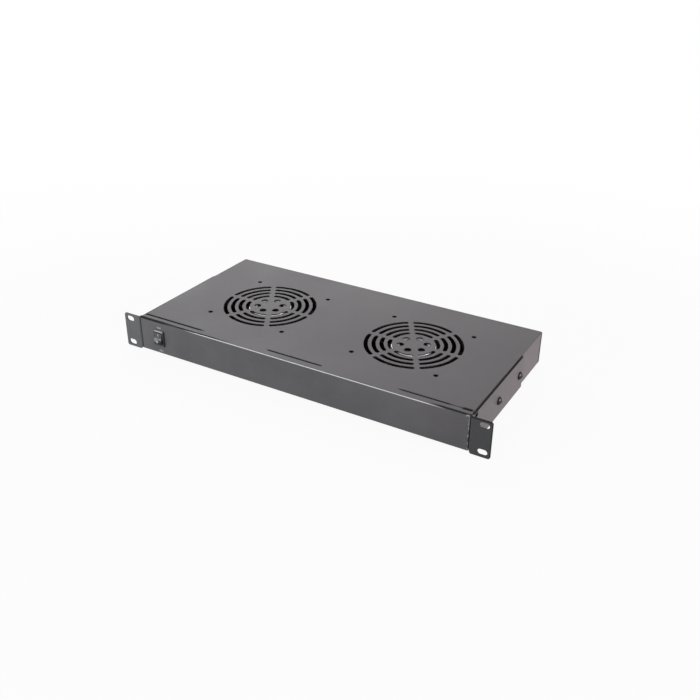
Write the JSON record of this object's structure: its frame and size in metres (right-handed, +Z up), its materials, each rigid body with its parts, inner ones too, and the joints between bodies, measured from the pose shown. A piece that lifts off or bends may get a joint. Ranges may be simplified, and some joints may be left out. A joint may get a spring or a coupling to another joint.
{
  "type": "rack fan tray",
  "caption": "Flat folded-steel fan tray for a rack, with punched round grilles over its fans, slotted mounting ears, a rocker switch in front and a mains inlet behind.",
  "frame": {"origin": "middle of the four rack slots, on the rear face of the mounting ears", "axes": "+X to the right seen from the front, +Y towards the rear, square to the ears' rear face, +Z up"},
  "size_m": [0.4826, 0.2256, 0.044],
  "materials": {
    "plug_rubber": "moulded",
    "bearing_steel": "polished",
    "zinc": "bright zinc plate",
    "black_screw": "black oxide",
    "fan_casting": "black painted die casting",
    "guard_wire": "nickel plated wire",
    "panel_coat": "fine textured grey-black powder coat",
    "blade_plastic": "black moulded",
    "inlet_plastic": "moulded",
    "tin_brass": "tin plated",
    "ear_coat": "fine textured grey-black powder coat",
    "cage_metal": "cast",
    "rotor_metal": "drawn, satin",
    "clip_steel": "spring steel",
    "shaft_steel": "ground",
    "copper": "enamelled winding",
    "lamination": "stacked laminations",
    "switch_plastic": "fine satin moulding",
    "rocker_plastic": "satin moulding",
    "block_plastic": "moulded",
    "carrier_plastic": "moulded",
    "tray_coat": "fine textured grey-black powder coat"
  },
  "bodies": {
    "tray": {"bearing_plug_left": "plug_rubber", "bearing_plug_right": "plug_rubber", "bearings_left": "bearing_steel", "bearings_right": "bearing_steel", "block_nut": "zinc", "block_screw": "black_screw", "clamp_screws": "zinc", "ear_nuts": "zinc", "ear_screws": "black_screw", "earth_nut": "zinc", "earth_stud": "zinc", "fan_frame_left": "fan_casting", "fan_frame_right": "fan_casting", "fan_nuts": "zinc", "fan_screws": "black_screw", "finger_guard_left": "guard_wire", "finger_guard_right": "guard_wire", "front_panel": "panel_coat", "guard_nuts": "zinc", "guard_screws": "zinc", "inlet_body": "inlet_plastic", "inlet_nuts": "zinc", "inlet_pins": "tin_brass", "inlet_screws": "black_screw", "rack_ear_left": "ear_coat", "rack_ear_right": "ear_coat", "stator_coils_left": "copper", "stator_coils_right": "copper", "stator_core_left": "lamination", "stator_core_right": "lamination", "switch_body": "switch_plastic", "switch_terminals": "tin_brass", "terminal_block": "block_plastic", "terminal_carrier_left": "carrier_plastic", "terminal_carrier_right": "carrier_plastic", "terminal_tabs_left": "tin_brass", "terminal_tabs_right": "tin_brass", "tray_housing": "tray_coat"},
    "left_rotor": {"impeller_left": "blade_plastic", "rotor_cup_left": "rotor_metal", "rotor_cage_left": "cage_metal", "shaft_left": "shaft_steel", "shaft_clip_left": "clip_steel"},
    "right_rotor": {"impeller_right": "blade_plastic", "rotor_cup_right": "rotor_metal", "rotor_cage_right": "cage_metal", "shaft_right": "shaft_steel", "shaft_clip_right": "clip_steel"},
    "rocker": {"switch_rocker": "rocker_plastic"}
  },
  "joints": [
    {"name": "left_fan_spin", "type": "hinge", "parent": "tray", "child": "left_rotor", "pos_m": [-0.1, 0.107, 0], "axis": [0, 0, 1], "continuous": true},
    {"name": "right_fan_spin", "type": "hinge", "parent": "tray", "child": "right_rotor", "pos_m": [0.1, 0.107, 0], "axis": [0, 0, 1], "continuous": true},
    {"name": "switch_rock", "type": "hinge", "parent": "tray", "child": "rocker", "pos_m": [-0.188, -0.002, 0.0008], "axis": [1, 0, 0], "range_deg": [0, 30]}
  ]
}
